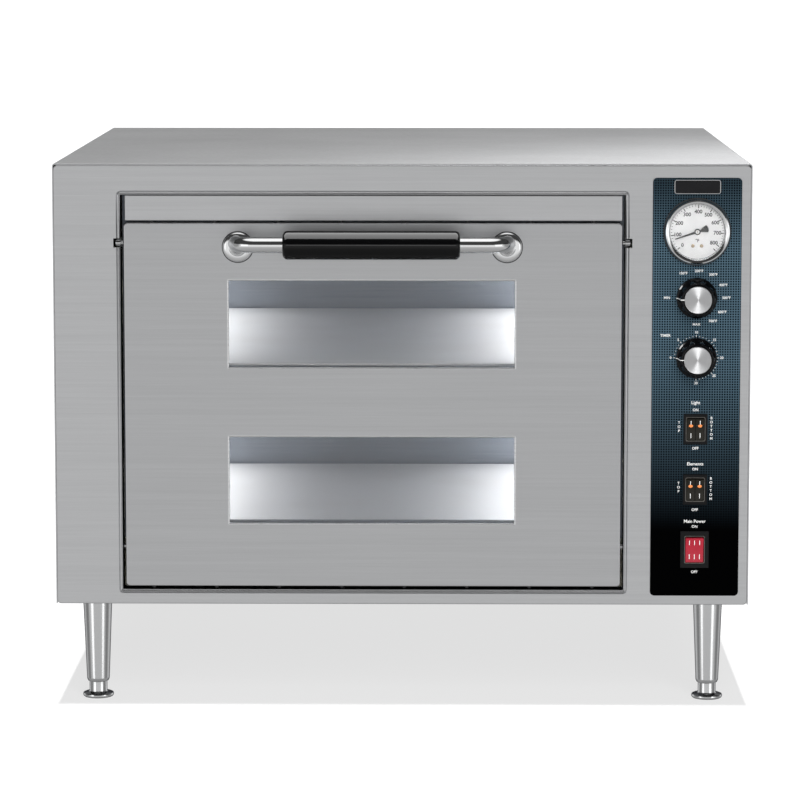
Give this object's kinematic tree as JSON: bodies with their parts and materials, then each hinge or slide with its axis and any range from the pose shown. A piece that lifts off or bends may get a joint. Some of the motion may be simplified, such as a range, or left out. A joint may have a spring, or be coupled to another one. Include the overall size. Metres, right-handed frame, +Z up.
{
  "type": "countertop pizza oven",
  "caption": "Countertop deck oven in brushed steel with a drop-down glazed door, baking stones, a dial thermometer, rotary knobs and rocker switches, on adjustable legs.",
  "frame": {"origin": "on the table under the middle of the oven's bounding box", "axes": "+X to the right of a person in front, -Y out of the front face, +Z up"},
  "size_m": [0.711, 0.7544, 0.559],
  "materials": {
    "brushed_steel": "brushed along the width",
    "aluminised_steel": "dull aluminised sheet",
    "satin_steel": "satin turned",
    "chrome": "polished",
    "grip": "gloss black",
    "control_overlay": "printed grid that fades to black",
    "badge_plate": "blank, gloss black",
    "gauge_dial": "white printed scale",
    "gauge_needle": "black",
    "clear_glass": "clear",
    "knob_plastic": "gloss black, fluted",
    "knob_cap": "spun",
    "switch_plastic": "black",
    "red_rocker": "translucent red",
    "stone": "fired ceramic stone",
    "element": "oxidised sheath",
    "insulation": "ceramic wool",
    "gasket": "heat resistant"
  },
  "bodies": {
    "root": {"outer_wrap": "brushed_steel", "front_frame": "brushed_steel", "base_pan": "aluminised_steel", "rear_panel": "aluminised_steel", "chamber_liner": "aluminised_steel", "lintel_panel": "brushed_steel", "insulation_blanket": "insulation", "control_divider": "aluminised_steel", "upper_deck_stone": "stone", "lower_deck_stone": "stone", "upper_deck_rail_left": "aluminised_steel", "upper_deck_rail_right": "aluminised_steel", "lower_deck_tray": "aluminised_steel", "top_element": "element", "middle_element": "element", "bottom_element": "element", "upper_lamp": "clear_glass", "lower_lamp": "clear_glass", "leg_front_left": "satin_steel", "leg_front_right": "satin_steel", "leg_rear_left": "satin_steel", "leg_rear_right": "satin_steel", "control_overlay": "control_overlay", "badge_plate": "badge_plate", "gauge_case": "chrome", "gauge_dial": "gauge_dial", "gauge_lens": "clear_glass", "thermostat_body": "aluminised_steel", "timer_body": "aluminised_steel", "light_switch_housing": "switch_plastic", "element_switch_housing": "switch_plastic", "power_switch_housing": "switch_plastic", "cord_gland": "switch_plastic"},
    "door": {"door_skin": "brushed_steel", "door_liner": "brushed_steel", "door_glass_upper": "clear_glass", "door_glass_lower": "clear_glass", "door_gasket": "gasket", "handle_bar": "chrome", "handle_grip": "grip", "handle_rosette_left": "chrome", "handle_rosette_right": "chrome", "hinge_pin_left": "satin_steel", "hinge_pin_right": "satin_steel", "catch_pin_left": "satin_steel", "catch_pin_right": "satin_steel"},
    "thermostat_dial": {"thermostat_knob": "knob_plastic", "thermostat_knob_cap": "knob_cap"},
    "timer_dial": {"timer_knob": "knob_plastic", "timer_knob_cap": "knob_cap"},
    "needle": {"gauge_needle": "gauge_needle"},
    "light_rocker_top": {"light_rocker_top": "switch_plastic"},
    "light_rocker_bottom": {"light_rocker_bottom": "switch_plastic"},
    "element_rocker_top": {"element_rocker_top": "switch_plastic"},
    "element_rocker_bottom": {"element_rocker_bottom": "switch_plastic"},
    "power_rocker": {"power_rocker": "red_rocker"},
    "foot_front_left": {"foot_front_left": "satin_steel"},
    "foot_front_right": {"foot_front_right": "satin_steel"},
    "foot_rear_left": {"foot_rear_left": "satin_steel"},
    "foot_rear_right": {"foot_rear_right": "satin_steel"}
  },
  "joints": [
    {"name": "door_hinge", "type": "hinge", "parent": "root", "child": "door", "pos_m": [0, -0.29675, 0.1641], "axis": [1, 0, 0], "range_deg": [0, 90], "stiffness_Nm_per_rad": 3, "springref_deg": -20.05},
    {"name": "thermostat_turn", "type": "hinge", "parent": "root", "child": "thermostat_dial", "pos_m": [0.29975, -0.31205, 0.4229], "axis": [0, 1, 0], "range_deg": [0, 270]},
    {"name": "timer_turn", "type": "hinge", "parent": "root", "child": "timer_dial", "pos_m": [0.29975, -0.31205, 0.3615], "axis": [0, 1, 0], "range_deg": [0, 270]},
    {"name": "needle_turn", "type": "hinge", "parent": "root", "child": "needle", "pos_m": [0.29975, -0.31435, 0.4904], "axis": [0, 1, 0], "range_deg": [-26, 244], "stiffness_Nm_per_rad": 0.001},
    {"name": "light_rocker_top_press", "type": "hinge", "parent": "root", "child": "light_rocker_top", "pos_m": [0.2951, -0.31055, 0.2884], "axis": [-1, 0, 0], "range_deg": [0, 14]},
    {"name": "light_rocker_bottom_press", "type": "hinge", "parent": "root", "child": "light_rocker_bottom", "pos_m": [0.3044, -0.31055, 0.2884], "axis": [-1, 0, 0], "range_deg": [0, 14]},
    {"name": "element_rocker_top_press", "type": "hinge", "parent": "root", "child": "element_rocker_top", "pos_m": [0.2951, -0.31055, 0.2261], "axis": [-1, 0, 0], "range_deg": [0, 14]},
    {"name": "element_rocker_bottom_press", "type": "hinge", "parent": "root", "child": "element_rocker_bottom", "pos_m": [0.3044, -0.31055, 0.2261], "axis": [-1, 0, 0], "range_deg": [0, 14]},
    {"name": "power_rocker_press", "type": "hinge", "parent": "root", "child": "power_rocker", "pos_m": [0.29975, -0.31055, 0.1639], "axis": [-1, 0, 0], "range_deg": [0, 14]},
    {"name": "foot_front_left_adjust", "type": "slide", "parent": "root", "child": "foot_front_left", "axis": [0, 0, -1], "range_m": [0, 0.02]},
    {"name": "foot_front_right_adjust", "type": "slide", "parent": "root", "child": "foot_front_right", "axis": [0, 0, -1], "range_m": [0, 0.02]},
    {"name": "foot_rear_left_adjust", "type": "slide", "parent": "root", "child": "foot_rear_left", "axis": [0, 0, -1], "range_m": [0, 0.02]},
    {"name": "foot_rear_right_adjust", "type": "slide", "parent": "root", "child": "foot_rear_right", "axis": [0, 0, -1], "range_m": [0, 0.02]}
  ]
}
